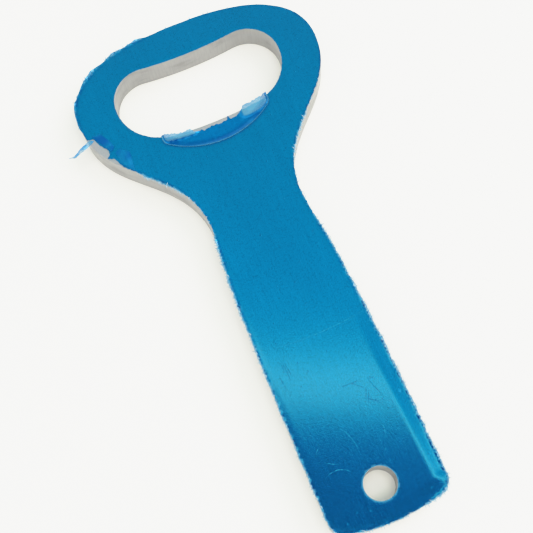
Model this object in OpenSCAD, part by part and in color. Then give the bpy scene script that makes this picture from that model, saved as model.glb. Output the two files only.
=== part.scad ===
// Flat keychain bottle opener: one aluminium plate in its protective film.
// Millimetres. The origin is the centre of the keyring hole on the plate's underside,
// +Y runs towards the head and +Z is the filmed front face.

/* [Plate] */
// Thickness of the aluminium plate
plate_t = 6; // [4:0.5:8]

/* [Handle] */
// Width of the handle beside the keyring hole
handle_w = 21.9; // [18:0.1:27]
// Width of the neck, the narrowest place of the handle
neck_w = 18; // [15:0.1:21]
// Distance from the keyring hole to the neck
neck_y = 54.3; // [44:0.1:66]
// Distance from the keyring hole to the end of the handle
end_margin = 6.7; // [5.5:0.1:9]
// Radius of the slightly bowed end
end_bow_r = 32; // [20:1:80]
// Radius of the two corners of the end
end_corner_r = 2.7; // [1:0.1:4]

/* [Head] */
// Width of the head across its widest line
head_w = 48.9; // [44:0.1:60]
// Distance from the neck to the widest line of the head
head_rise = 28.9; // [26:0.1:36]
// Height of the head above its widest line
crown_h = 13.3; // [12:0.1:17]
// Squareness of the head above its widest line, 2 being an ellipse
crown_power = 2.4; // [2:0.1:3]
// Fullness of the head's sides below its widest line
shoulder_pull = 12.6; // [8:0.1:16]
// Length of the flare from the neck into the head
neck_pull = 14.6; // [10:0.1:18]

/* [Cap opening] */
// Width of the opening that takes the rim of a crown cap
opening_w = 33.7; // [28:0.1:36]
// Height of the opening on its centre line
opening_h = 15.3; // [12:0.1:16]
// Metal left between the opening and the top of the head
top_frame = 6.8; // [5:0.1:9]
// Radius of the opening's two corners beside the fulcrum
fulcrum_corner_r = 6.5; // [5:0.1:7]
// Radius of the opening's two corners beside the lip
lip_corner_r = 8.8; // [8:0.1:10]
// Radius of the bow of the fulcrum edge
fulcrum_bow_r = 77; // [50:1:120]
// Radius of the bow of the lip edge
lip_bow_r = 77; // [50:1:120]

/* [Lip recess] */
// Width of the pressed recess that thins the lip
recess_w = 21.8; // [16:0.1:24]
// Reach of the recess from the lip edge towards the handle
recess_reach = 4.5; // [3:0.1:6]
// Radius of the recess's curved wall
recess_r = 17; // [14:0.5:24]
// Radius of the recess's two end corners
recess_corner_r = 1.6; // [0.5:0.1:2.5]
// Depth of the recess below the front face
recess_depth = 0.5; // [0.3:0.1:2]

/* [Keyring hole] */
// Diameter of the keyring hole
keyring_d = 6; // [4:0.1:7]

/* [Protective film] */
// Thickness of the plastic film
film_t = 0.08; // [0.05:0.01:0.15]
// Gap from the film's edge to the plate's edge
film_gap = 0.1; // [0.05:0.05:0.4]
// Bare metal left along the lip where the film is worn off
lip_bare = 0.7; // [0.3:0.1:1.5]

/* [Torn place] */
// Place of the tear on the head's side, 0 at its widest line and 1 at the neck
tear_at = 0.21; // [0.1:0.01:0.3]
// Length of film edge torn away above that place
tear_up = 5; // [3:0.5:6]
// Length of film edge torn away below that place
tear_down = 7.5; // [4:0.5:9]
// Depth of the torn place in from the plate's edge
tear_in = 1.6; // [0.8:0.1:2]
// Length of the sliver of film beyond the plate's edge
sliver_l = 4.2; // [2:0.1:6]
// Width of the sliver where it leaves the film
sliver_w = 1; // [0.6:0.1:1.5]
// Width of the two flaps of film that have folded back
flap_w = 2; // [1:0.1:3]

/* [Hidden] */
arc_step = 5;
crown_step = 3;
shoulder_steps = 30;
side_steps = 14;
cut = 1;

head_y = neck_y + head_rise;
head_top = head_y + crown_h;
fulcrum_y = head_top - top_frame;
lip_y = fulcrum_y - opening_h;
recess_y = lip_y - recess_reach;
// The opening's corners shrink together where its height leaves no room for both
corner_fit = min(1, opening_h / (fulcrum_corner_r + lip_corner_r));
front_z = plate_t;
recess_z = plate_t - recess_depth;
neck_ease = 6;
handle_ease = 48;
seat_gap = 0.02;

// Points of an arc about (cx, cy) from angle a0 to angle a1
function arc(cx, cy, r, a0, a1) =
    let (n = max(1, ceil(abs(a1 - a0) * max(1, sqrt(r / 8)) / arc_step)))
    [for (i = [0:n]) let (a = a0 + (a1 - a0) * i / n) [cx + r * cos(a), cy + r * sin(a)]];

// A point of the cubic curve from p0 to p3, and its points without p0 itself
function curve_point(p0, p1, p2, p3, t) =
    let (s = 1 - t)
    s * s * s * p0 + 3 * s * s * t * p1 + 3 * s * t * t * p2 + t * t * t * p3;

function curve(p0, p1, p2, p3, steps) =
    [for (i = [1:steps]) curve_point(p0, p1, p2, p3, i / steps)];

// The four control points of the side of the head, from its widest line to the neck
function shoulder(inset) =
    let (wide = [head_w / 2 - inset, head_y],
         neck = [neck_w / 2 - inset, neck_y])
    [wide, wide - [0, shoulder_pull], neck + [0, neck_pull], neck];

// A point of the rounded top of the head
function crown_point(a, inset) =
    [(head_w / 2 - inset) * pow(cos(a), 2 / crown_power),
     head_y + (crown_h - inset) * pow(sin(a), 2 / crown_power)];

// Mirror image of a half outline, so that the two halves close
function both_sides(half) =
    concat(half, [for (i = [len(half) - 1:-1:0]) if (half[i][0] > 0.001) [-half[i][0], half[i][1]]]);

// Outline of the plate, moved inwards by inset
function plate_outline(inset) =
    let (shoulder_at = shoulder(inset),
         neck = shoulder_at[3],
         end_low = -end_margin + inset,
         bow = end_bow_r - inset,
         corner = max(0.3, end_corner_r - inset),
         corner_x = handle_w / 2 - inset - corner,
         corner_y = end_low + bow - sqrt(pow(bow - corner, 2) - pow(corner_x, 2)),
         turn = atan2(corner_y - end_low - bow, corner_x),
         side = [handle_w / 2 - inset, corner_y])
    both_sides(concat(
        [for (a = [90:-crown_step:0]) crown_point(a, inset)],
        curve(shoulder_at[0], shoulder_at[1], shoulder_at[2], neck, shoulder_steps),
        curve(neck, neck - [0, neck_ease], side + [0, handle_ease], side, side_steps),
        arc(corner_x, corner_y, corner, 0, turn),
        arc(0, end_low + bow, bow, turn, -90)));

// Outline of the cap opening, grown by grow, its lip edge grown by lip_grow
function opening_outline(grow, lip_grow) =
    let (half = opening_w / 2 + grow,
         top_r = fulcrum_corner_r * corner_fit + grow,
         top_bow = fulcrum_bow_r - grow,
         top_x = half - top_r,
         top_y = fulcrum_y + grow + top_bow - sqrt(pow(top_bow + top_r, 2) - pow(top_x, 2)),
         top_turn = atan2(fulcrum_y + grow + top_bow - top_y, -top_x),
         low_r = lip_corner_r * corner_fit + lip_grow,
         low_bow = lip_bow_r + lip_grow,
         low_x = half - low_r,
         low_y = lip_y + lip_bow_r - sqrt(pow(low_bow - low_r, 2) - pow(low_x, 2)),
         low_turn = atan2(low_y - lip_y - lip_bow_r, low_x))
    both_sides(concat(
        arc(0, fulcrum_y + grow + top_bow, top_bow, -90, top_turn - 180),
        arc(top_x, top_y, top_r, top_turn, 0),
        arc(low_x, low_y, low_r, 0, low_turn),
        arc(0, lip_y + lip_bow_r, low_bow, low_turn, -90)));

// Flat shape of the pressed recess, up to the middle of the opening, with round end corners
module recess_shape(inset) {
    corner = recess_corner_r;
    corner_x = recess_w / 2 - inset - corner;
    wall_r = recess_r - inset;
    wall_y = recess_y + recess_r;
    corner_y = wall_y - sqrt(pow(wall_r - corner, 2) - pow(corner_x, 2));
    turn = atan2(corner_y - wall_y, corner_x);
    top_y = lip_y + opening_h / 2;
    half = concat(
        [[0, top_y], [recess_w / 2 - inset, top_y]],
        arc(corner_x, corner_y, corner, 0, turn),
        arc(0, wall_y, wall_r, turn, -90));
    polygon(both_sides(half));
}

// Moves and turns its children to the torn place on the -X side of the head: there +X
// points out of the plate and +Y runs up along its edge
module at_tear() {
    side = shoulder(0);
    middle = curve_point(side[0], side[1], side[2], side[3], tear_at);
    above = curve_point(side[0], side[1], side[2], side[3], tear_at - 0.01);
    mirror([1, 0, 0])
        translate(middle)
            rotate(atan2(above[1] - middle[1], above[0] - middle[0]) - 90)
                children();
}

// Flat shape of the place where the film's edge is torn away, with a spike left in it
module tear_shape() {
    at_tear()
        polygon([[cut, tear_up + cut], [-tear_in * 0.6, tear_up * 0.78], [-tear_in, tear_up * 0.65],
                 [-tear_in * 0.85, tear_up * 0.3], [-tear_in, -tear_down * 0.06],
                 [-tear_in * 0.7, -tear_down * 0.16], [-tear_in * 0.1, -tear_down * 0.19],
                 [-tear_in * 0.6, -tear_down * 0.33], [-tear_in * 0.5, -tear_down * 0.56],
                 [-tear_in * 0.6, -tear_down * 0.8], [cut, -tear_down - cut]]);
}

// The hole punched through the plate and both films
module keyring_bore() {
    translate([0, 0, -cut])
        cylinder(d = keyring_d, h = plate_t + 2 * cut, $fn = 72);
}

module opener_plate() {
    color("silver")
    difference() {
        linear_extrude(plate_t)
            polygon(plate_outline(0));
        translate([0, 0, -cut])
            linear_extrude(plate_t + 2 * cut)
                polygon(opening_outline(0, 0));
        translate([0, 0, recess_z])
            linear_extrude(recess_depth + cut)
                recess_shape(0);
        keyring_bore();
    }
}

module front_film() {
    color("dodgerblue")
    difference() {
        translate([0, 0, front_z])
            linear_extrude(film_t)
                polygon(plate_outline(film_gap));
        translate([0, 0, front_z - cut])
            linear_extrude(film_t + 2 * cut) {
                polygon(opening_outline(film_gap, film_gap));
                recess_shape(0);
                tear_shape();
            }
        keyring_bore();
    }
}

module back_film() {
    color("deepskyblue")
    difference() {
        translate([0, 0, -film_t])
            linear_extrude(film_t)
                polygon(plate_outline(film_gap));
        translate([0, 0, -film_t - cut])
            linear_extrude(film_t + 2 * cut)
                polygon(opening_outline(film_gap, film_gap));
        keyring_bore();
    }
}

module lip_film() {
    color("royalblue")
    translate([0, 0, recess_z])
    linear_extrude(film_t)
    difference() {
        recess_shape(film_gap);
        polygon(opening_outline(lip_bare, lip_bare));
    }
}

// A flap of film folded back onto the front film, as a closed outline in the torn place's frame
module flap(outline) {
    translate([0, 0, front_z + film_t + seat_gap])
        linear_extrude(film_t)
            at_tear()
                polygon(outline);
}

module upper_flap() {
    fold = -tear_in - film_gap;
    color("mediumblue")
        flap([[fold, tear_up * 0.76], [fold - flap_w * 0.7, tear_up * 0.62], [fold - flap_w * 0.72, tear_up * 0.2],
              [fold - flap_w * 0.6, -tear_down * 0.1], [fold, -tear_down * 0.15]]);
}

module lower_flap() {
    fold = -tear_in * 0.6 - film_gap;
    color("mediumblue")
        flap([[fold - flap_w * 0.5, -tear_down * 0.24], [fold - flap_w * 0.95, -tear_down * 0.25],
              [fold - flap_w * 1.4, -tear_down * 0.5], [fold - flap_w, -tear_down * 0.68],
              [fold - flap_w * 0.2, -tear_down * 0.95], [fold, -tear_down * 0.55]]);
}

module torn_sliver() {
    root = -tear_in + seat_gap;
    mid_y = tear_up * 0.7;
    color("lightskyblue")
        translate([0, 0, front_z])
            linear_extrude(film_t)
                at_tear()
                    polygon([[root * 0.9, mid_y - sliver_w * 0.5], [sliver_l * 0.35, mid_y - sliver_w * 0.4],
                             [sliver_l * 0.8, mid_y + sliver_w * 0.1], [sliver_l, mid_y + sliver_w * 1.15],
                             [sliver_l * 0.75, mid_y + sliver_w * 0.5], [sliver_l * 0.2, mid_y + sliver_w * 0.4],
                             [root * 0.55, mid_y + sliver_w * 0.4]]);
}

opener_plate();
front_film();
back_film();
lip_film();
upper_flap();
lower_flap();
torn_sliver();
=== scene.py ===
import bmesh
import bpy
import math
import numpy as np
from mathutils import Matrix, Quaternion, Vector, geometry, noise


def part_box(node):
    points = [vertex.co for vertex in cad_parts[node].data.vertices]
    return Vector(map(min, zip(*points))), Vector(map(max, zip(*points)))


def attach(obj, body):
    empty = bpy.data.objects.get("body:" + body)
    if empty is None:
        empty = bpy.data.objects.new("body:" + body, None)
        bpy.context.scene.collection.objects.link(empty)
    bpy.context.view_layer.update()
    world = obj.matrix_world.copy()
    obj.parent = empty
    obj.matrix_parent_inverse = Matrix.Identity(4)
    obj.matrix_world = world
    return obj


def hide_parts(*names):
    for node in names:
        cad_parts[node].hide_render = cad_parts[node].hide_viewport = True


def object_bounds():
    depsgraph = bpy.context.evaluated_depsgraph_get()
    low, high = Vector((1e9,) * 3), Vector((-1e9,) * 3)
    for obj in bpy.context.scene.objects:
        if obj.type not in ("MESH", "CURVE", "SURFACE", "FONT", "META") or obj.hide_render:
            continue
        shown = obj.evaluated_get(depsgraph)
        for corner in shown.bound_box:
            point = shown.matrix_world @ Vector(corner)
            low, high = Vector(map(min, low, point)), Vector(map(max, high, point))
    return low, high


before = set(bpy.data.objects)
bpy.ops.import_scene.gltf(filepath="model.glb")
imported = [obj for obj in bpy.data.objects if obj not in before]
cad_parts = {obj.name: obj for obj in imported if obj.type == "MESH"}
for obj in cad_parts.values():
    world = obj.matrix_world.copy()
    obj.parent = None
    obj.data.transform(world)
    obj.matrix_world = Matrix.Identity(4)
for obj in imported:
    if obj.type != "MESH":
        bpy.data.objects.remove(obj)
cad_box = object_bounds()
MM = 0.001


# ---------------------------------------------------------------- camera, table and light
# The opener lies on a pale table and is seen from above its keyring end, as close as a
# phone is held. The light is a soft studio: an even pale room with one bright band overhead.
camera_at = Vector((-18.3, -13.3, 197.8)) * MM
looks_at = Vector((-2.67, 43.6, 6.1)) * MM
camera_turn = math.radians(-8.07)
lens_mm = 74.3

camera = bpy.data.objects.new("camera", bpy.data.cameras.new("camera"))
bpy.context.scene.collection.objects.link(camera)
camera.data.sensor_width = 36
camera.data.lens = lens_mm
camera.data.clip_start = 0.01
camera.location = camera_at
camera.rotation_mode = "QUATERNION"
camera.rotation_quaternion = (
    (looks_at - camera_at).to_track_quat("-Z", "Y") @ Quaternion((0, 0, 1), camera_turn))
bpy.context.scene.camera = camera

# The soft shoulder of a camera's tone curve: the pale table comes close to white and stays unclipped
tone = bpy.context.scene.view_settings
tone.view_transform = "Standard"
tone.use_curve_mapping = True
tone.curve_mapping.white_level = (2, 2, 2)
shoulder = tone.curve_mapping.curves[3]
for place, level in ((0.25, 0.5), (0.5, 0.8)):
    shoulder.points.new(place, level)
shoulder.points[-1].location = (1, 0.93)
tone.curve_mapping.update()


def new_material(name):
    """A material whose tree holds only its output, and that tree."""
    material = bpy.data.materials.new(name)
    material.use_nodes = True
    material.node_tree.nodes.clear()
    return material, material.node_tree


def add(tree, kind, inputs=None, **settings):
    """One node in a tree: its settings, then its inputs as values or as another node's output."""
    made = tree.nodes.new(kind)
    for name, value in settings.items():
        setattr(made, name, value)
    for name, value in (inputs or {}).items():
        socket = made.inputs[name]
        if isinstance(value, bpy.types.NodeSocket):
            tree.links.new(value, socket)
        else:
            socket.default_value = value
    return made


def maths(tree, operation, *values, clamp=False):
    """The result of a Math node."""
    made = add(tree, "ShaderNodeMath", dict(enumerate(values)), operation=operation, use_clamp=clamp)
    return made.outputs[0]


def ramp(tree, factor, stops):
    """A colour ramp from (place, colour) stops, eased between them."""
    made = add(tree, "ShaderNodeValToRGB", {"Fac": factor})
    made.color_ramp.interpolation = "EASE"
    for i, (place, colour) in enumerate(stops):
        stop = made.color_ramp.elements[i] if i < 2 else made.color_ramp.elements.new(place)
        stop.position = place
        stop.color = (*colour, 1)
    return made.outputs["Color"]


table_half = 1.5
table_colour = (0.84, 0.83, 0.73)
table_material, tree = new_material("pale table")
shader = add(tree, "ShaderNodeBsdfPrincipled",
             {"Base Color": (*table_colour, 1), "Roughness": 0.75, "Specular IOR Level": 0.2})
add(tree, "ShaderNodeOutputMaterial", {"Surface": shader.outputs[0]})
table_mesh = bpy.data.meshes.new("table")
table_gap = 0.02 * MM
table_z = cad_box[0][2] - table_gap
table_corners = [(x, y, table_z) for x, y in ((-1, -1), (1, -1), (1, 1), (-1, 1))]
table_mesh.from_pydata(table_corners, [], [(0, 1, 2, 3)])
table_mesh.transform(Matrix.Diagonal((table_half, table_half, 1, 1)))
table_mesh.materials.append(table_material)
table = bpy.data.objects.new("table", table_mesh)
bpy.context.scene.collection.objects.link(table)

# The room is pale all round. Overhead, where the glossy film mirrors it, it is dimmer and bluish,
# with one warm bright band across; lean and side say how far a direction tips from straight up.
room = bpy.data.worlds.new("room")
bpy.context.scene.world = room
room.use_nodes = True
tree = room.node_tree
tree.nodes.clear()
looking = add(tree, "ShaderNodeTexCoord").outputs["Generated"]
direction = add(tree, "ShaderNodeSeparateXYZ", {0: looking})
height = maths(tree, "MAXIMUM", direction.outputs[2], 0.05)
band_x, band_y = 0.39, 0.92
across = maths(tree, "MULTIPLY", direction.outputs[0], band_x)
across = maths(tree, "MULTIPLY_ADD", direction.outputs[1], band_y, across)
lean = maths(tree, "DIVIDE", across, height)
across = maths(tree, "MULTIPLY", direction.outputs[1], -band_x)
across = maths(tree, "MULTIPLY_ADD", direction.outputs[0], band_y, across)
side = maths(tree, "DIVIDE", across, height)
lean_low, lean_high = -0.75, 0.65


def overhead_stop(lean, colour):
    """One stop of the overhead ramp, at a lean."""
    return (lean - lean_low) / (lean_high - lean_low), colour


# The warm bright band is the pair of stops near 0.19
overhead_stops = [
    overhead_stop(-0.70, (1.4, 1.38, 1.35)),
    overhead_stop(-0.58, (1.9, 1.9, 1.9)),
    overhead_stop(-0.12, (1.9, 1.9, 1.9)),
    overhead_stop(-0.03, (0.5, 0.7, 0.9)),
    overhead_stop(0.03, (0.10, 0.06, 0.2)),
    overhead_stop(0.08, (0.12, 0.06, 0.24)),
    overhead_stop(0.158, (0.15, 0.28, 0.50)),
    overhead_stop(0.181, (2.4, 2.6, 1.8)),
    overhead_stop(0.194, (2.4, 2.6, 1.8)),
    overhead_stop(0.224, (0.14, 0.97, 1.0)),
    overhead_stop(0.29, (0.12, 0.76, 0.86)),
    overhead_stop(0.45, (0.14, 0.63, 0.68)),
    overhead_stop(0.60, (0.25, 0.56, 0.60))]
along_ramp = add(tree, "ShaderNodeMapRange", {0: lean, 1: lean_low, 2: lean_high})
overhead = ramp(tree, along_ramp.outputs[0], overhead_stops)
room_walls = (1.35, 1.33, 1.31, 1)
beyond = maths(tree, "ABSOLUTE", maths(tree, "ADD", side, 0.06))
beyond = add(tree, "ShaderNodeMapRange", {0: beyond, 1: 0.35, 2: 0.7}, interpolation_type="SMOOTHSTEP")
sky = add(tree, "ShaderNodeMix", {0: beyond.outputs[0], 6: overhead, 7: room_walls}, data_type="RGBA")
background = add(tree, "ShaderNodeBackground", {"Color": sky.outputs[2], "Strength": 1.0})
add(tree, "ShaderNodeOutputWorld", {"Surface": background.outputs[0]})


def soft_light(name, size, power, at, colour, mirrored=True):
    """A square soft light that faces the middle of the opener, and may stay out of its reflections."""
    data = bpy.data.lights.new(name, "AREA")
    data.size = size
    data.energy = power
    data.color = colour
    light = bpy.data.objects.new(name, data)
    light.location = at
    light.rotation_mode = "QUATERNION"
    light.rotation_quaternion = (looks_at - Vector(at)).to_track_quat("-Z", "Y")
    light.visible_glossy = mirrored
    bpy.context.scene.collection.objects.link(light)


soft_light("window", 0.6, 5.0, (0.55, 0.15, 0.5), (1, 0.97, 0.94))
soft_light("ceiling", 0.5, 6.0, (0.02, -0.08, 0.9), (1, 0.985, 0.97), mirrored=False)


# ---------------------------------------------------------------- opener plate
# One blank of 6 mm aluminium, brushed on both faces and sheared in a press: its upper rims
# are drawn down a little by the cut, its walls keep fine upright shear marks.
plate_low, plate_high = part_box("opener_plate")
plate_top = plate_high.z / MM
lip_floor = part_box("lip_film")[0].z / MM
spacing = 0.4
sliver = 1e-4
flat_within = 0.003


def rims(node, z):
    """The closed edges of a CAD node's flat face at height z, longest first, in millimetres."""
    bm = bmesh.new()
    bm.from_mesh(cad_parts[node].data)
    bmesh.ops.remove_doubles(bm, verts=bm.verts, dist=1e-7)
    flat = {face for face in bm.faces
            if abs(face.normal.z) > 0.99 and abs(face.calc_center_median().z / MM - z) < flat_within}
    links = {}
    for edge in bm.edges:
        if sum(face in flat for face in edge.link_faces) == 1:
            for a, b in (tuple(edge.verts), tuple(edge.verts)[::-1]):
                links.setdefault(a, []).append(b)
    loops = []
    while links:
        start = min(links, key=lambda v: (v.co.x, v.co.y))
        loop, before, here = [], None, start
        while here is not None:
            loop.append((here.co.x / MM, here.co.y / MM))
            after = [v for v in links.pop(here, []) if v in links and v is not before]
            before, here = here, after[0] if after else None
        loops.append(np.array(loop))
    bm.free()
    turned = []
    for loop in loops:
        following = np.roll(loop, -1, 0)
        area = (loop[:, 0] * following[:, 1] - loop[:, 1] * following[:, 0]).sum()
        turned.append(loop if area > 0 else loop[::-1])
    return sorted(turned, key=lambda p: -np.ptp(p[:, 1]))


def subdivided(loop, step=spacing):
    """A closed loop with points no further apart than step."""
    points = []
    for a, b in zip(loop, np.roll(loop, -1, 0)):
        pieces = max(1, math.ceil(np.linalg.norm(b - a) / step))
        points += [a + (b - a) * i / pieces for i in range(pieces)]
    return np.array(points)


def outwards(loop):
    """Unit normals of a counter-clockwise loop, pointing out of it."""
    along = np.roll(loop, -1, 0) - np.roll(loop, 1, 0)
    along /= np.linalg.norm(along, axis=1)[:, None] + 1e-12
    return np.column_stack((along[:, 1], -along[:, 0]))


def gap_to(points, loop):
    """Distance of each point from a closed loop."""
    a, b = loop, np.roll(loop, -1, 0)
    d = b - a
    found = []
    for chunk in np.array_split(points, max(1, len(points) // 2000)):
        t = np.clip(((chunk[:, None] - a) * d).sum(2) / ((d * d).sum(1) + 1e-12), 0, 1)
        found.append(np.linalg.norm(chunk[:, None] - a - t[..., None] * d, axis=2).min(1))
    return np.concatenate(found)


def inside(points, loops):
    """Which points lie inside a region bounded by loops, holes left out."""
    hit = np.zeros(len(points), int)
    x, y = points[:, 0][:, None], points[:, 1][:, None]
    for loop in loops:
        a, b = loop, np.roll(loop, -1, 0)
        crosses = (a[:, 1] > y) != (b[:, 1] > y)
        with np.errstate(divide="ignore", invalid="ignore"):
            at = a[:, 0] + (y - a[:, 1]) * (b[:, 0] - a[:, 0]) / (b[:, 1] - a[:, 1])
        hit += (crosses & (x < at)).sum(1)
    return hit % 2 == 1


def kept(points, faces, borders, loops):
    """Which triangles to keep: the patches between border edges whose largest triangle lies inside."""
    sides = {}
    for i, (a, b, c) in enumerate(faces.tolist()):
        for edge in ((a, b), (b, c), (c, a)):
            sides.setdefault(frozenset(edge), []).append(i)
    beside = [[] for _ in faces]
    for edge, pair in sides.items():
        if len(pair) == 2 and edge not in borders:
            beside[pair[0]].append(pair[1])
            beside[pair[1]].append(pair[0])
    a, b, c = (points[faces[:, i]] for i in range(3))
    area = np.abs((b - a)[:, 0] * (c - a)[:, 1] - (b - a)[:, 1] * (c - a)[:, 0])
    within = inside(points[faces].mean(1), loops)
    keep, seen = np.zeros(len(faces), bool), np.zeros(len(faces), bool)
    for start in range(len(faces)):
        if not seen[start]:
            patch, seen[start] = [start], True
            for i in patch:
                for other in beside[i]:
                    if not seen[other]:
                        seen[other] = True
                        patch.append(other)
            largest = patch[int(area[patch].argmax())]
            keep[patch] = within[largest] and area[largest] > sliver
    return keep


def sheet(loops, step=spacing):
    """A flat sheet of fine triangles between closed loops: its points and its triangles."""
    border = np.concatenate(loops)
    edges, first = [], 0
    for loop in loops:
        edges += [(first + i, first + (i + 1) % len(loop)) for i in range(len(loop))]
        first += len(loop)
    low, high = border.min(0), border.max(0)
    rows = []
    for i, y in enumerate(np.arange(low[1], high[1], step * 0.866)):
        across = np.arange(low[0] + (i % 2) * step / 2, high[0], step)
        rows.append(np.column_stack((across, np.full(len(across), y))))
    grid = np.concatenate(rows)
    grid = grid[inside(grid, loops)]
    clear = np.min([gap_to(grid, loop) for loop in loops], 0) > step * 0.55
    points = np.concatenate((border, grid[clear]))
    made = geometry.delaunay_2d_cdt([Vector(p) for p in points], edges, [], 0, 1e-6)
    flat = np.array([tuple(v) for v in made[0]])
    faces = np.array([f for f in made[2] if len(f) == 3])
    borders = {frozenset(edge) for edge, source in zip(made[1], made[4]) if source}
    faces = faces[kept(flat, faces, borders, loops)]
    a, b, c = (flat[faces[:, i]] for i in range(3))
    turn = (b[:, 0] - a[:, 0]) * (c[:, 1] - a[:, 1]) - (b[:, 1] - a[:, 1]) * (c[:, 0] - a[:, 0])
    faces[turn < 0] = faces[turn < 0][:, ::-1]
    return flat, faces


def smooth(value, low, high):
    """0 below low, 1 above high, eased between."""
    t = np.clip((value - low) / (high - low), 0, 1)
    return t * t * (3 - 2 * t)


def drawn_down(depth, width, distance):
    """How far a sheared rim is pulled down, by the distance in from its edge."""
    return depth * np.clip(1 - distance / width, 0, 3) ** 2


top_loops = [subdivided(loop) for loop in rims("opener_plate", plate_top)]
outer, inner, hole = top_loops
askew_depth, askew_width = 0.2, 2.6


def plate_height(points):
    """Height of the front face, in millimetres, drawn down most along the keyring end's right side."""
    edge = gap_to(points, outer) * np.where(inside(points, [outer]), 1, -1)
    rim = gap_to(points, inner)
    bore = gap_to(points, hole)
    askew = np.clip((points[:, 0] + 2) / 8, 0, 1) * np.clip((34 - points[:, 1]) / 16, 0, 1)
    askew = askew * np.clip((points[:, 1] + 6) / 4, 0, 1)
    return (plate_top - drawn_down(0.03, 1.4, edge)
            - askew_depth * askew * (1 - smooth(edge, 0, askew_width))
            - drawn_down(0.03, 0.6, rim) - drawn_down(0.015, 0.35, bore))


def new_piece(name, vertices, faces, material):
    """A closed, welded mesh in place, made from points in millimetres, its object at the origin."""
    mesh = bpy.data.meshes.new(name)
    mesh.from_pydata([tuple(v) for v in np.asarray(vertices) * MM], [], [tuple(f) for f in faces])
    bm = bmesh.new()
    bm.from_mesh(mesh)
    bmesh.ops.remove_doubles(bm, verts=bm.verts, dist=1e-7)
    bm.to_mesh(mesh)
    bm.free()
    mesh.materials.append(material)
    mesh.shade_smooth()
    mesh.set_sharp_from_angle(angle=math.radians(40))
    piece = bpy.data.objects.new(name, mesh)
    bpy.context.scene.collection.objects.link(piece)
    return piece


def with_corners(loop, points):
    """A loop with the given points added where they lie on one of its straight stretches."""
    for p in points:
        a, b = loop, np.roll(loop, -1, 0)
        d = b - a
        t = np.clip(((p - a) * d).sum(1) / ((d * d).sum(1) + 1e-12), 0, 1)
        away = np.linalg.norm(p - a - t[:, None] * d, axis=1)
        at = int(away.argmin())
        if away[at] < 0.01 and np.linalg.norm(loop - p, axis=1).min() > 0.01:
            loop = np.insert(loop, at + 1, p, 0)
    return loop


def wall(loop, levels, relief, closed=True):
    """A wall between levels from top to bottom, its inner rows roughened along the loop's normals."""
    normals = outwards(loop)
    count = len(loop)
    vertices = []
    for row, z in enumerate(levels):
        z = z if np.ndim(z) else np.full(count, z)
        push = np.zeros(count)
        if 0 < row < len(levels) - 1:
            push = np.array([relief(x, y, h) for (x, y), h in zip(loop, z)])
            if not closed:
                push[[0, -1]] = 0
        vertices.append(np.column_stack((loop + normals * push[:, None], z)))
    faces = []
    for row in range(len(levels) - 1):
        for i in range(count if closed else count - 1):
            a, b = row * count + i, row * count + (i + 1) % count
            faces.append((a, a + count, b + count, b))
    return np.concatenate(vertices), np.array(faces)


def shear_marks(x, y, z):
    """Relief of a sheared wall: fine upright marks that deepen in its torn lower part."""
    marks = noise.noise(Vector((x * 3.1, y * 3.1, z * 0.35)))
    torn = noise.noise(Vector((x * 1.7, y * 1.7, z * 2.2 + 9)))
    return 0.012 * marks + 0.02 * torn * max(0, 1 - z / (plate_top * 0.45))


def join(patches):
    """Several patches of vertices and faces as one."""
    vertices, faces, first = [], [], 0
    for points, polygons in patches:
        vertices.append(points)
        faces += [tuple(int(i) + first for i in polygon) for polygon in polygons]
        first += len(points)
    return np.concatenate(vertices), faces


def flipped(faces):
    """Faces turned over."""
    return [tuple(face)[::-1] for face in faces]


def lifted(points, heights):
    """Flat points with heights added."""
    return np.column_stack((points, heights if np.ndim(heights) else np.full(len(points), heights)))


recess_rims = rims("opener_plate", lip_floor)
bottom_rims = rims("opener_plate", plate_low.z / MM)
recess = subdivided(recess_rims[0])
through = with_corners(bottom_rims[1], rims("opener_plate", plate_top)[1])
through = subdivided(with_corners(through, recess_rims[0]))

front_face, front_triangles = sheet([outer, inner, hole])
back_face, back_triangles = sheet([outer, through, hole])
floor_face, floor_triangles = sheet([recess])


def near(points, loop, within=0.01):
    """Which points lie on a loop's own points."""
    return np.array([np.linalg.norm(loop - p, axis=1).min() < within for p in points])


def stretch(loop, chosen):
    """The one unbroken run of chosen points of a closed loop."""
    start = next(i for i in range(len(loop)) if chosen[i] and not chosen[i - 1])
    run = [start]
    while chosen[(run[-1] + 1) % len(loop)] and len(run) < len(loop):
        run.append((run[-1] + 1) % len(loop))
    return loop[run]


# The through wall under the recess starts at the recess floor, the rest of it at the front face
lip_edge = stretch(recess, near(recess, through))
jaw_wall = stretch(inner, near(inner, through))
recess_wall = stretch(recess, near(recess, inner))
patches = [(lifted(front_face, plate_height(front_face)), front_triangles),
           (lifted(back_face, 0.0), flipped(back_triangles)),
           (lifted(floor_face, lip_floor), floor_triangles)]
lower_levels = [lip_floor * (1 - row / 8) for row in range(9)]


def upper_levels(loop):
    """Three levels from the front face down to the recess floor."""
    high = plate_height(loop)
    return [high, high * 0.67 + lip_floor * 0.33, high * 0.33 + lip_floor * 0.67]


for loop, levels, side in ((outer, upper_levels(outer) + lower_levels, 1),
                           (hole, upper_levels(hole) + lower_levels, -1),
                           (jaw_wall, upper_levels(jaw_wall) + lower_levels, -1),
                           (lip_edge, lower_levels, 1),
                           (recess_wall, upper_levels(recess_wall) + lower_levels[:1], -1)):
    whole = loop is outer or loop is hole
    points, faces = wall(loop, levels, lambda x, y, z: side * shear_marks(x, y, z), whole)
    patches.append((points, faces if side > 0 else flipped(faces)))


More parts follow.
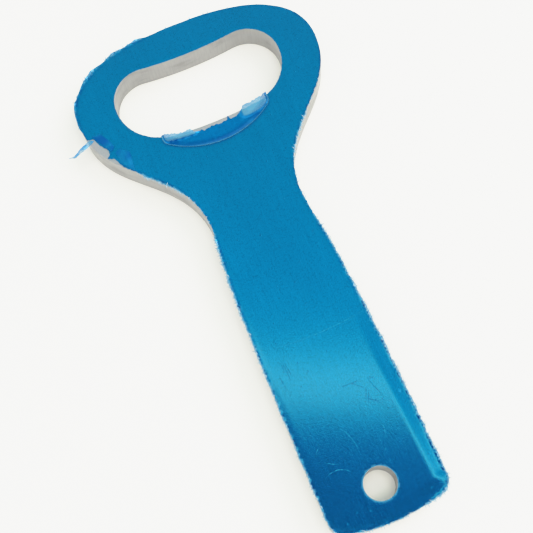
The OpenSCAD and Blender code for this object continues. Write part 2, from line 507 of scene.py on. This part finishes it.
def effect(name, inputs, outputs):
    """A shader node group with the named sockets: the group, its input node and its output node."""
    made = bpy.data.node_groups.new(name, "ShaderNodeTree")
    for socket, kind in inputs.items():
        made.interface.new_socket(socket, in_out="INPUT", socket_type="NodeSocket" + kind)
    for socket, kind in outputs.items():
        made.interface.new_socket(socket, in_out="OUTPUT", socket_type="NodeSocket" + kind)
    return made, add(made, "NodeGroupInput").outputs, add(made, "NodeGroupOutput")


def place_in_mm(tree):
    """The place on the piece, in millimetres."""
    place = add(tree, "ShaderNodeTexCoord").outputs["Object"]
    return add(tree, "ShaderNodeVectorMath", {0: place, "Scale": 1 / MM}, operation="SCALE").outputs[0]


def grain(tree, place, per_mm, detail=2.0, roughness=0.5):
    """Noise of so many marks per millimetre along x, y and z, about 0.5."""
    stretched = add(tree, "ShaderNodeVectorMath", {0: place, 1: per_mm}, operation="MULTIPLY")
    settings = {"Vector": stretched.outputs[0], "Scale": 1.0, "Detail": detail, "Roughness": roughness}
    return add(tree, "ShaderNodeTexNoise", settings).outputs[0]


def spread(tree, value, low, high, to_low=0.0, to_high=1.0):
    """A value's range from low to high stretched smoothly to another range."""
    return add(tree, "ShaderNodeMapRange", {0: value, 1: low, 2: high, 3: to_low, 4: to_high},
               interpolation_type="SMOOTHSTEP").outputs[0]


def blend(tree, factor, first, second, kind="MIX"):
    """Two colours mixed."""
    sockets = {0: factor, 6: first, 7: second}
    return add(tree, "ShaderNodeMix", sockets, data_type="RGBA", blend_type=kind).outputs[2]


def bump(tree, height):
    """A normal roughened by a height in millimetres."""
    return add(tree, "ShaderNodeBump", {"Height": height, "Distance": MM, "Strength": 1.0}).outputs[0]


# Sheared and pressed aluminium: pale, dull, with upright shear marks and a few grey stains
metal, tree = new_material("sheared aluminium")
place = place_in_mm(tree)
marks = grain(tree, place, (4.0, 4.0, 0.25), 3.0)
stain = grain(tree, place, (0.22, 0.22, 0.5), 3.0)
fine = grain(tree, place, (9.0, 9.0, 9.0), 2.0)
shade = blend(tree, spread(tree, marks, 0.3, 0.7), (0.285, 0.285, 0.29, 1), (0.32, 0.32, 0.325, 1))
shade = blend(tree, spread(tree, stain, 0.52, 0.72, 0.0, 0.6), shade, (0.23, 0.225, 0.225, 1))
shade = blend(tree, spread(tree, fine, 0.66, 0.74, 0.0, 0.5), shade, (0.16, 0.155, 0.15, 1))
rough = spread(tree, stain, 0.3, 0.8, 0.38, 0.6)
relief = maths(tree, "MULTIPLY", marks, 0.012)
relief = maths(tree, "MULTIPLY_ADD", fine, 0.006, relief)
shader = add(tree, "ShaderNodeBsdfPrincipled",
             {"Base Color": shade, "Roughness": rough, "Metallic": 0.6, "Normal": bump(tree, relief)})
add(tree, "ShaderNodeOutputMaterial", {"Surface": shader.outputs[0]})
plate = new_piece("plate_blank", *join(patches), metal)
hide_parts("opener_plate")
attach(plate, "root")


# ---------------------------------------------------------------- front film
# A 0.08 mm sheet of clear blue plastic laid on the face before the blank was sheared, so the
# press cut it with the metal: it wraps the drawn-down rims and its cut edge is ragged and lifts.
film_t = (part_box("front_film")[1].z - plate_high.z) / MM
film_seat = 0.004


def skin(flat, triangles, low, thickness=film_t):
    """A closed skin over flat triangles whose underside has the given heights."""
    count = len(flat)
    vertices = np.concatenate((lifted(flat, low + thickness), lifted(flat, low)))
    faces = [tuple(t) for t in triangles] + [(a + count, c + count, b + count) for a, b, c in triangles]
    edges = {(f[i], f[(i + 1) % 3]) for f in map(tuple, triangles.tolist()) for i in range(3)}
    faces += [(b, a, a + count, b + count) for a, b in sorted(edges) if (b, a) not in edges]
    return vertices, faces


def weathered(points, per_mm, seed=0.0):
    """Smooth noise about 0 along a loop's points."""
    return np.array([noise.noise(Vector((x * per_mm, y * per_mm, seed))) for x, y in points])


def reach(points, places):
    """A width at each point, from places (x, y, radius, width) where the film stands out."""
    width = np.zeros(len(points))
    for x, y, radius, most in places:
        away = np.linalg.norm(points - (x, y), axis=1) / radius
        width = np.maximum(width, most * np.clip(1.3 - away, 0, 0.3) / 0.3)
    return width


# Where the film stands out past the metal (x, y, radius) and by how much: the keyring end and
# handle on the right, the same on the left, the head, then the neck
stands_out = [(11, -2, 6, 0.34), (11, 10, 9, 0.38), (10.8, 24, 9, 0.40), (10.6, 38, 9, 0.36),
              (9.5, 50, 5, 0.12),
              (-10.5, 32, 8, 0.26), (-9.8, 45, 7, 0.40), (-10.8, 10, 12, 0.22), (0, -6.7, 12, 0.14),
              (-15.5, 93.5, 8, 0.5), (-21, 89, 6, 0.42), (4, 96.5, 14, 0.10), (22, 90, 7, 0.10),
              (9.5, 60, 6, 0.10), (-9.5, 60, 6, 0.06), (-13.5, 67, 4, 0.3), (13, 66, 4, 0.22)]
head_from_y = 76
metal_edge_within = 0.16
film_rims = rims("front_film", plate_top + film_t)
film_edge, film_mouth, film_bore = (subdivided(loop, 0.18) for loop in film_rims)
on_edge = gap_to(film_edge, outer) < metal_edge_within
push = 0.05 + reach(film_edge, stands_out) * (1.0 + 0.7 * weathered(film_edge, 0.35, 3.0))
rougher = np.where(film_edge[:, 1] > head_from_y, 0.05, 1.0)
push += rougher * (0.16 * weathered(film_edge, 1.7, 5.0) + 0.10 * weathered(film_edge, 3.5, 6.0))
push = np.where(on_edge, push, 0.10 * weathered(film_edge, 2.0, 7.0))
film_edge = film_edge + outwards(film_edge) * push[:, None]
on_mouth = gap_to(film_mouth, inner) < metal_edge_within
pull = np.where(on_mouth, 0.09 + 0.07 * weathered(film_mouth, 2.4, 9.0), 0.02)
film_mouth = film_mouth - outwards(film_mouth) * pull[:, None]
film_flat, film_triangles = sheet([film_edge, film_mouth, film_bore])
past = np.where(inside(film_flat, [outer]), 0, gap_to(film_flat, outer))
film_low = plate_height(film_flat) + film_seat
lift = 0.35 * past * (0.6 + 2 * weathered(film_flat, 0.9, 11.0))
film_low += np.where(past > 0, lift, 0)


def mark_points(piece, flat, amounts, name):
    """Gives each point of a piece, as an attribute, the amount that its flat place has."""
    mark = piece.data.attributes.new(name, "FLOAT", "POINT")
    amount_at = {(x, y): amount for (x, y), amount in zip(np.round(flat, 4), amounts)}
    places = [(round(v.co.x / MM, 4), round(v.co.y / MM, 4)) for v in piece.data.vertices]
    mark.data.foreach_set("value", [amount_at.get(place, 0.0) for place in places])


# What every piece of the film shares: lengthwise grain, glitter, specks and soft mottling
film_marks, given, result = effect("film marks", {"Place": "Vector"},
                                   {"Mottle": "Float", "Dark specks": "Float", "Pale specks": "Float",
                                    "Height": "Float"})
place = given["Place"]
lengthwise = grain(film_marks, place, (4.5, 0.12, 1.0), 3.0)
glitter = grain(film_marks, place, (5.6, 4.4, 5.6), 2.0, 0.65)
broad = grain(film_marks, place, (0.09, 0.05, 0.1), 2.0)
mottle = maths(film_marks, "MULTIPLY_ADD", lengthwise, 0.30, 0.85)
sparkle = maths(film_marks, "MULTIPLY_ADD", glitter, 0.5, 0.75)
mottle = maths(film_marks, "MULTIPLY", mottle, sparkle)
pits = spread(film_marks, grain(film_marks, place, (5.6, 4.8, 4.0), 2.0), 0.54, 0.66, 1.0, 0.70)
mottle = maths(film_marks, "MULTIPLY", mottle, pits)
clouds = maths(film_marks, "MULTIPLY_ADD", broad, 0.2, 0.9)
mottle = maths(film_marks, "MULTIPLY", mottle, clouds)
specks = []
for per_mm, radius, share in ((0.9, 0.16, 0.80), (0.6, 0.10, 0.86)):
    cells = add(film_marks, "ShaderNodeTexVoronoi", {"Vector": place, "Scale": per_mm})
    round_mark = spread(film_marks, cells.outputs["Distance"], radius * per_mm, radius * per_mm * 0.4)
    chosen = add(film_marks, "ShaderNodeSeparateColor", {0: cells.outputs["Color"]}).outputs[0]
    chosen = maths(film_marks, "GREATER_THAN", chosen, share)
    specks.append(maths(film_marks, "MULTIPLY", round_mark, chosen))
height = maths(film_marks, "MULTIPLY", lengthwise, 0.002)
height = maths(film_marks, "MULTIPLY_ADD", glitter, 0.0042, height)
height = maths(film_marks, "MULTIPLY_ADD", specks[0], 0.02, height)
for socket, value in (("Mottle", mottle), ("Dark specks", specks[0]),
                      ("Pale specks", specks[1]), ("Height", height)):
    film_marks.links.new(value, result.inputs[socket])

# One scratch: part of a circle, fading at its ends
scratch, given, result = effect("scratch", {"Place": "Vector", "Centre": "Vector", "Radius": "Float",
                                            "Towards": "Vector", "Length": "Float", "Width": "Float"},
                                {"Mark": "Float"})
flat_place = add(scratch, "ShaderNodeVectorMath", {0: given["Place"], 1: (1, 1, 0)},
                 operation="MULTIPLY").outputs[0]
from_centre = add(scratch, "ShaderNodeVectorMath", {0: flat_place, 1: given["Centre"]},
                  operation="DISTANCE")
off = maths(scratch, "SUBTRACT", from_centre.outputs["Value"], given["Radius"])
off = maths(scratch, "ABSOLUTE", off)
across = maths(scratch, "DIVIDE", off, given["Width"])
line = maths(scratch, "SUBTRACT", 1.0, across, clamp=True)
from_middle = add(scratch, "ShaderNodeVectorMath", {0: flat_place, 1: given["Towards"]},
                  operation="DISTANCE")
run = maths(scratch, "DIVIDE", from_middle.outputs["Value"], given["Length"])
run = maths(scratch, "SUBTRACT", 1.0, run, clamp=True)
broken = spread(scratch, grain(scratch, flat_place, (1.6, 1.6, 1.0)), 0.35, 0.6, 0.25, 1.0)
mark = maths(scratch, "MULTIPLY", line, maths(scratch, "POWER", run, 0.5))
mark = maths(scratch, "MULTIPLY", mark, broken)
scratch.links.new(mark, result.inputs["Mark"])


def use(tree, group, inputs):
    """A node group placed in a material's tree."""
    made = tree.nodes.new("ShaderNodeGroup")
    made.node_tree = group
    for name, value in inputs.items():
        if isinstance(value, bpy.types.NodeSocket):
            tree.links.new(value, made.inputs[name])
        else:
            made.inputs[name].default_value = value
    return made.outputs


deep_blue = (0.002, 0.195, 0.45, 1)
pale_blue = (0.06, 0.25, 0.41, 1)
speck_blue = (0.001, 0.03, 0.10, 1)
# The darker blue that paints shade into the film
painted_shade_blue = (0.001, 0.05, 0.24, 1)
scratch_blue = (0.05, 0.36, 0.60, 1)
dent_blue = (0.001, 0.06, 0.18, 1)


def film_material(name, blue, scratches=(), dents=(), alpha=1.0, lifted_mark=None, shade_mark=None,
                  metallic=0.85, roughness=0.09, coat=0.2, gloss=0.4):
    """Blue film over bright metal; where it stands clear of the metal, and along painted highlights, it
    is pale and lets light in, and where a shade mark says so it is darkened with painted shade.
    """
    made, tree = new_material(name)
    place = place_in_mm(tree)
    marks = use(tree, film_marks, {"Place": place})
    colour = blend(tree, 1.0, blue, marks["Mottle"], "MULTIPLY")
    dark = maths(tree, "MULTIPLY", marks["Dark specks"], 0.7)
    colour = blend(tree, dark, colour, speck_blue)
    pale = maths(tree, "MULTIPLY", marks["Pale specks"], 0.5)
    colour = blend(tree, pale, colour, pale_blue)
    rough = spread(tree, marks["Mottle"], 0.8, 1.2, roughness * 0.85, roughness * 1.2)
    height = marks["Height"]
    for marked, tint, share, depth in ((scratches, scratch_blue, 0.4, -0.004),
                                       (dents, dent_blue, 0.55, -0.005)):
        worn = None
        for centre, radius, middle, length, width in marked:
            one = use(tree, scratch, {"Place": place, "Centre": (*centre, 0), "Radius": radius,
                                      "Towards": (*middle, 0), "Length": length,
                                      "Width": width})["Mark"]
            worn = maths(tree, "MAXIMUM", worn, one) if worn else one
        if worn:
            colour = blend(tree, maths(tree, "MULTIPLY", worn, share), colour, tint)
            rough = maths(tree, "MULTIPLY_ADD", worn, 0.3, rough)
            height = maths(tree, "MULTIPLY_ADD", worn, depth, height)
    inputs = {"Metallic": metallic, "Alpha": alpha}
    if lifted_mark:
        clear = add(tree, "ShaderNodeAttribute", attribute_name=lifted_mark).outputs["Fac"]
        clear = spread(tree, clear, 0.0, 1.0)
        colour = blend(tree, clear, colour, pale_blue)
        inputs["Metallic"] = maths(tree, "MULTIPLY_ADD", clear, -metallic, metallic)
        inputs["Alpha"] = maths(tree, "MULTIPLY_ADD", clear, -0.4, alpha)
    # Painted shade: where the shade mark says, the colour is mixed towards a darker blue.
    if shade_mark:
        painted_shade = add(tree, "ShaderNodeAttribute", attribute_name=shade_mark).outputs["Fac"]
        colour = blend(tree, maths(tree, "MULTIPLY", painted_shade, 0.8), colour, painted_shade_blue)
    inputs.update({"Base Color": colour, "Roughness": rough, "Normal": bump(tree, height),
                   "Coat Weight": coat, "Specular IOR Level": gloss, "Coat Roughness": 0.08})
    shader = add(tree, "ShaderNodeBsdfPrincipled", inputs)
    add(tree, "ShaderNodeOutputMaterial", {"Surface": shader.outputs[0]})
    return made


# Scratches: centre and radius of the circle that each follows, its middle, half length and half
# width; with no radius it is a pit or a trapped speck
worn_film = film_material("blue film, scratched", deep_blue, [
    ((-10, 6.5), 9.0, (-2.4, 9.0), 2.6, 0.06), ((-3, 12), 6.6, (-6.3, 6.4), 1.3, 0.06),
    ((-6.4, 1.6), 3.4, (-6.0, 4.9), 2.6, 0.07), ((-4, 6), 5.0, (-7.6, 9.4), 1.2, 0.06),
    ((1, 95), 66.6, (1.5, 28.5), 11.0, 0.08), ((8, 120), 41.0, (13, 79.4), 3.5, 0.06),
    ((30, 3), 26.0, (4.6, 8.2), 1.5, 0.05), ((-20, -2), 17.0, (-3.2, -0.8), 1.8, 0.05),
    ((8.5, 8.0), 0.0, (8.5, 8.0), 4.0, 0.10), ((3.1, 6.7), 0.0, (3.1, 6.7), 4.0, 0.08),
    ((6.9, 7.2), 0.0, (6.9, 7.2), 4.0, 0.08)],
    [((-30, 24), 23.0, (-7.1, 24.4), 1.9, 0.10), ((-32, 22), 25.5, (-6.6, 24.6), 1.3, 0.09),
     ((-34, 26), 26.6, (-7.5, 25.2), 1.0, 0.09), ((-29, 21), 20.6, (-8.5, 22.6), 1.2, 0.10),
     ((3, 40), 22.2, (2.4, 17.9), 1.6, 0.09), ((20, 20), 14.6, (5.7, 15.9), 1.9, 0.07),
     ((-9, 4), 18.0, (3.4, 17.2), 1.3, 0.10), ((22, 7), 19.6, (4.0, 15.2), 1.1, 0.13),
     ((24, 5), 21.8, (4.6, 14.4), 1.2, 0.12), ((-4, 2), 14.6, (4.9, 13.4), 1.0, 0.12),
     ((6.1, 17.4), 0.0, (6.1, 17.4), 4.0, 0.22), ((10.0, 13.2), 0.0, (10.0, 13.2), 5.0, 0.45)],
    lifted_mark="past_metal_and_bore_highlight", shade_mark="painted_edge_shade")
front = new_piece("front_film_sheet", *skin(film_flat, film_triangles, film_low), worn_film)
# Painted highlight: a pale ring on the film around the keyring bore. The overhang past the metal is
# pale because the film has no metal behind it there.
bore_highlight = np.clip(1 - gap_to(film_flat, hole) / 0.2, 0, 0.75)
overhang = np.clip((past - 0.02) / 0.12, 0, 1)
overhang = overhang * np.where(film_flat[:, 1] > head_from_y, 0.45, 1)
mark_points(front, film_flat, np.maximum(bore_highlight, overhang), "past_metal_and_bore_highlight")
# Painted shade: a darker band on the film along the outer edge, where it rolls down over the drawn-down
# rim, broken up by noise.
edge_shade = np.where(past > 0, 0, np.clip(1 - gap_to(film_flat, outer) / 0.42, 0, 1))
edge_shade = edge_shade * np.clip(0.75 + 1.6 * weathered(film_flat, 0.5, 13.0), 0, 1)
# Painted shadow: a dark line on the front film beside the edge of the recess.
recess_shadow_line = np.clip(1 - gap_to(film_flat, recess) / 0.4, 0, 1)
recess_shadow_line = recess_shadow_line * (film_flat[:, 1] < lip_edge[:, 1].max())
mark_points(front, film_flat, np.maximum(edge_shade, 0.8 * recess_shadow_line), "painted_edge_shade")
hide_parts("front_film")
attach(front, "root")


# ---------------------------------------------------------------- back film
# The same film on the back face, a plain sheet under the opener, so its modelled solid stays.
back_blue = film_material("blue film, back", deep_blue)
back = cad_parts["back_film"]
back.data.materials.clear()
back.data.materials.append(back_blue)


# ---------------------------------------------------------------- lip film
# The crescent of film over the pressed lip. It bridges the corner of the recess in a smooth
# hollow, its cut edge is ragged and short of the lip, and both ends have blistered off the metal.
lip_line = lip_edge[np.argsort(lip_edge[:, 0])]
lip_x = np.linspace(recess_wall[:, 0].max() - 0.02, recess_wall[:, 0].min() + 0.02, 150)
ragged = np.column_stack((lip_x, np.zeros(len(lip_x))))
short = -0.75 + 1.2 * smooth(lip_x, 4.0, 6.0)
short += 0.6 * smooth(-lip_x, 4.2, 5.4) + 0.55 * smooth(-lip_x, 7.5, 9.5)
short += 0.5 * weathered(ragged, 0.6, 21.0) + 0.3 * weathered(ragged, 2.0, 23.0)
short += 0.9 * np.exp(-((lip_x - 2.3) / 0.22) ** 2)
ragged[:, 1] = np.interp(lip_x, lip_line[:, 0], lip_line[:, 1]) + np.clip(short, -1.3, 0.55)
crescent_wall = recess_wall if recess_wall[0, 0] < recess_wall[-1, 0] else recess_wall[::-1]
crescent_top = min(ragged[0, 1], ragged[-1, 1]) - 0.1
crescent_wall = crescent_wall[crescent_wall[:, 1] < crescent_top]
crescent = np.concatenate((crescent_wall, ragged))
lip_flat, lip_triangles = sheet([subdivided(crescent, 0.17)], 0.17)
wall_line = np.array([a + (b - a) * t for a, b in zip(recess_wall, recess_wall[1:])
                      for t in np.linspace(0, 1, 8)])
from_wall = np.array([np.linalg.norm(wall_line - p, axis=1).min() for p in lip_flat])
climb = np.clip(1 - from_wall / 1.3, 0, 1) ** 1.8
lip_side = lip_flat[:, 0]
from_lip = np.interp(lip_side, lip_line[:, 0], lip_line[:, 1]) - lip_flat[:, 1]
right_blister = smooth(lip_side, 4.2, 6.4) * smooth(-from_lip, -2.0 - 0.1 * lip_side / 5, -1.3)
left_blister = smooth(-lip_side, 3.6, 5.6) * smooth(-from_lip, -1.35, -0.8)
blister = np.maximum(right_blister, left_blister) * smooth(from_wall, 0.2, 0.8)
folds = weathered(lip_flat * (0.35, 1.0), 0.9, 31.0)
lip_low = lip_floor + film_seat + (plate_top - lip_floor) * climb
lip_low += 0.7 * blister * (1 + 0.2 * folds)
lip_low += 0.05 * np.abs(folds) + np.clip(0.16 - from_wall, 0, 1) * 0.8
# The lip film's blue is deeper than the front film's: painted shade of the recess.
lip_blue = film_material("blue film, lip", (0.002, 0.14, 0.40, 1), lifted_mark="lifted",
                         shade_mark="shaded", metallic=0.7, roughness=0.2, coat=0.0, gloss=0.12)
lip_sheet = new_piece("lip_film_sheet", *skin(lip_flat, lip_triangles, lip_low), lip_blue)
# Painted highlight: a pale line along the rim where the film folds up the recess wall, carried on the
# lifted mark with the blisters.
rim_highlight = np.clip(1.4 - from_wall / 0.22, 0, 1)
blistered = smooth(blister, 0.25, 0.6) * (0.85 + 0.4 * folds)
mark_points(lip_sheet, lip_flat, np.maximum(blistered, rim_highlight), "lifted")
# Painted shade in the hollow where the film bridges the corner of the recess.
hollow = smooth(from_wall, 0.2, 0.5) * (1 - smooth(from_wall, 0.9, 1.9))
mark_points(lip_sheet, lip_flat, hollow * np.clip(0.45 + 0.5 * folds, 0, 0.8), "shaded")
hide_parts("lip_film")
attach(lip_sheet, "root")


# ---------------------------------------------------------------- folded flaps
# Two flaps of film at the torn place, folded back onto the front film. Two layers lie over
# each other there, creased, so they are darker; painted shade darkens them further, most the upper
# flap.
def film_scrap(node, height, material, step=0.22):
    """A scrap of film in the outline of its solid, at the height that a rule gives its points."""
    edge = subdivided(rims(node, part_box(node)[1].z / MM)[0], step)
    edge = edge + outwards(edge) * 0.09 * weathered(edge, 2.4, 41.0)[:, None]
    flat, triangles = sheet([edge], step)
    low = height(flat, gap_to(flat, edge))
    return flat, new_piece(node + "_sheet", *skin(flat, triangles, low), material)


def folded_back(flat, from_edge):
    """Height of a flap: a rounded fold with two creases, resting on the film below."""
    creases = np.abs(weathered(flat, 0.5, 47.0))
    return plate_height(flat) + film_t + 0.02 + 0.12 * smooth(from_edge, 0, 0.9) + 0.14 * creases


folded_blue = film_material("blue film, folded", (0.002, 0.13, 0.32, 1), shade_mark="shaded",
                            metallic=0.6, roughness=0.42, coat=0.0, gloss=0.1)
# How much painted shade each flap gets
flap_shade = {"upper_flap": 0.9, "lower_flap": 0.25}
for node in flap_shade:
    flat, flap = film_scrap(node, folded_back, folded_blue)
    shaded = np.clip(flap_shade[node] + 0.9 * weathered(flat, 0.6, 61.0), 0, 1)
    mark_points(flap, flat, shaded, "shaded")
    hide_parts(node)
    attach(flap, "root")


# ---------------------------------------------------------------- torn sliver
# A thin sliver of film that the tear has left hanging out past the edge of the head, a little
# curled, with light passing through it.
def hanging_out(flat, from_edge):
    """Height of the sliver: on the plate at its root, then up, down and up again as it curls."""
    out = np.where(inside(flat, [outer]), 0, gap_to(flat, outer))
    rise = 0.5 * smooth(out, 0, 2.0) - 0.55 * smooth(out, 2.0, 5.0)
    return plate_height(flat) + film_seat + rise + 0.25 * from_edge


torn_blue = film_material("blue film, torn", (0.03, 0.22, 0.50, 1), alpha=0.82,
                          lifted_mark="lifted", metallic=0.2)
flat, torn = film_scrap("torn_sliver", hanging_out, torn_blue, 0.15)
mark_points(torn, flat, 0.75 * smooth(weathered(flat, 0.6, 51.0), -0.15, 0.25), "lifted")
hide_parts("torn_sliver")
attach(torn, "root")


# ---------------------------------------------------------------- shreds along the cut edge
# The press tore the film as it cut it, so short pale shreds of film stand out all along the
# edge of the plate, thickest on the handle's sides.
shred_tree = bpy.data.node_groups.new("film shreds", "GeometryNodeTree")
for socket, kind in (("Edge", "Geometry"), ("Spacing", "Float"), ("Length", "Float"),
                     ("Width", "Float"), ("Share", "Float"), ("Seed", "Int"), ("Film", "Material")):
    shred_tree.interface.new_socket(socket, in_out="INPUT", socket_type="NodeSocket" + kind)
shred_tree.interface.new_socket("Shreds", in_out="OUTPUT", socket_type="NodeSocketGeometry")
given = add(shred_tree, "NodeGroupInput").outputs
line = add(shred_tree, "GeometryNodeMeshToCurve", {"Mesh": given["Edge"]}).outputs["Curve"]
points = add(shred_tree, "GeometryNodeCurveToPoints", {"Curve": line, "Length": given["Spacing"]},
             mode="LENGTH")
out = add(shred_tree, "GeometryNodeInputNamedAttribute", {"Name": "out"}, data_type="FLOAT_VECTOR")
thick = add(shred_tree, "GeometryNodeInputNamedAttribute", {"Name": "thick"}, data_type="FLOAT")
tilt = add(shred_tree, "FunctionNodeRandomValue",
           {0: (-1.2, -1.2, -0.25), 1: (1.2, 1.2, 0.25), "Seed": given["Seed"]},
           data_type="FLOAT_VECTOR")
aim = add(shred_tree, "ShaderNodeVectorMath", {0: out.outputs[0], 1: tilt.outputs[0]},
          operation="ADD")
turn = add(shred_tree, "FunctionNodeAlignRotationToVector", {"Vector": aim.outputs[0]}, axis="Z")
size = add(shred_tree, "FunctionNodeRandomValue",
           {0: (0.5, 0.2, 0.25), 1: (1.5, 0.5, 1.6), "Seed": given["Seed"]},
           data_type="FLOAT_VECTOR")
blade = add(shred_tree, "GeometryNodeMeshCone", {"Vertices": 5, "Radius Bottom": given["Width"],
                                                 "Depth": given["Length"]})
luck = add(shred_tree, "FunctionNodeRandomValue", {2: 0.0, 3: 1.0, "Seed": given["Seed"]},
           data_type="FLOAT")
share = maths(shred_tree, "MULTIPLY", given["Share"], thick.outputs[0])
chosen = add(shred_tree, "FunctionNodeCompare", {0: luck.outputs[1], 1: share}, operation="LESS_THAN")
made = add(shred_tree, "GeometryNodeInstanceOnPoints",
           {"Points": points.outputs["Points"], "Instance": blade.outputs["Mesh"],
            "Rotation": turn.outputs[0], "Scale": size.outputs[0], "Selection": chosen.outputs[0]})
made = add(shred_tree, "GeometryNodeRealizeInstances", {0: made.outputs[0]})
made = add(shred_tree, "GeometryNodeSetMaterial",
           {"Geometry": made.outputs[0], "Material": given["Film"]})
shred_tree.links.new(made.outputs[0], add(shred_tree, "NodeGroupOutput").inputs[0])

shred_film = film_material("blue film, shreds", (0.26, 0.42, 0.52, 1), alpha=0.8, metallic=0.1,
                           roughness=0.3)
shred_edge = film_edge[on_edge] - outwards(film_edge)[on_edge] * 0.06
shred_out = outwards(film_edge)[on_edge]
shred_thick = np.clip(reach(shred_edge, stands_out) / 0.3, 0.12, 1)
shred_thick = shred_thick * np.where(shred_edge[:, 1] > head_from_y, 0.15, 1)
shred_z = plate_height(shred_edge) + film_t * 0.6
longest_step = 0.6
joined = [(i, i + 1) for i in range(len(shred_edge) - 1)
          if np.linalg.norm(shred_edge[i + 1] - shred_edge[i]) < longest_step]
path = bpy.data.meshes.new("shred path")
path.from_pydata([tuple(p) for p in lifted(shred_edge, shred_z) * MM], joined, [])
outward = path.attributes.new("out", "FLOAT_VECTOR", "POINT")
outward.data.foreach_set("vector", lifted(shred_out, 0.0).ravel())
path.attributes.new("thick", "FLOAT", "POINT").data.foreach_set("value", shred_thick)
carrier = bpy.data.objects.new("shred carrier", path)
bpy.context.scene.collection.objects.link(carrier)
growing = carrier.modifiers.new("shreds", "NODES")
growing.node_group = shred_tree
settings = {"Spacing": 0.12 * MM, "Length": 0.46 * MM, "Width": 0.15 * MM, "Share": 0.9, "Seed": 7,
            "Film": shred_film}
for item in shred_tree.interface.items_tree:
    if item.item_type == "SOCKET" and item.in_out == "INPUT" and item.name in settings:
        growing[item.identifier] = settings[item.name]
bpy.context.view_layer.update()
grown = bpy.data.meshes.new_from_object(carrier.evaluated_get(bpy.context.evaluated_depsgraph_get()))
bpy.data.objects.remove(carrier)
shreds = bpy.data.objects.new("edge_shreds", grown)
bpy.context.scene.collection.objects.link(shreds)
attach(shreds, "root")
